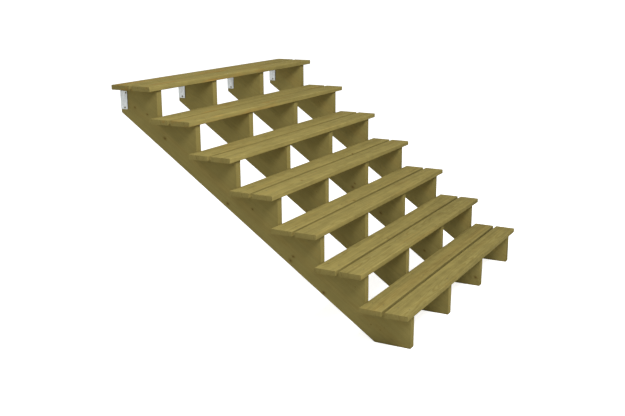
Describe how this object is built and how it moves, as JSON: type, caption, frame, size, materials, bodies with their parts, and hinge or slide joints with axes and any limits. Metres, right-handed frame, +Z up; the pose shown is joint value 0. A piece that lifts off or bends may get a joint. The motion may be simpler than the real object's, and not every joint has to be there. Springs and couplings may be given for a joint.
{
  "type": "outdoor wooden stairs",
  "caption": "Straight open-riser garden stair of treated pine: sawtooth stringers carry two-board treads, and steel angle brackets at the head fix it to a deck.",
  "frame": {"origin": "middle of the back face of the first bracket, where the head of the left-hand stringer meets the deck", "axes": "+X along the treads to the right seen from the foot, +Y up the flight towards the deck, +Z up"},
  "size_m": [1.83, 1.8355, 1.267],
  "materials": {
    "stringer_pine": "pressure-treated pine, olive green, planed",
    "tread_pine": "pressure-treated pine, olive green, planed with eased edges",
    "galvanised_steel": "galvanised, matt grey"
  },
  "bodies": {
    "root": {"stringer_1": "stringer_pine", "stringer_2": "stringer_pine", "stringer_3": "stringer_pine", "stringer_4": "stringer_pine", "tread_1_front": "tread_pine", "tread_1_rear": "tread_pine", "tread_2_front": "tread_pine", "tread_2_rear": "tread_pine", "tread_3_front": "tread_pine", "tread_3_rear": "tread_pine", "tread_4_front": "tread_pine", "tread_4_rear": "tread_pine", "tread_5_front": "tread_pine", "tread_5_rear": "tread_pine", "tread_6_front": "tread_pine", "tread_6_rear": "tread_pine", "tread_7_front": "tread_pine", "tread_7_rear": "tread_pine", "bracket_1": "galvanised_steel", "bracket_2": "galvanised_steel", "bracket_3": "galvanised_steel", "bracket_4": "galvanised_steel"}
  },
  "joints": []
}
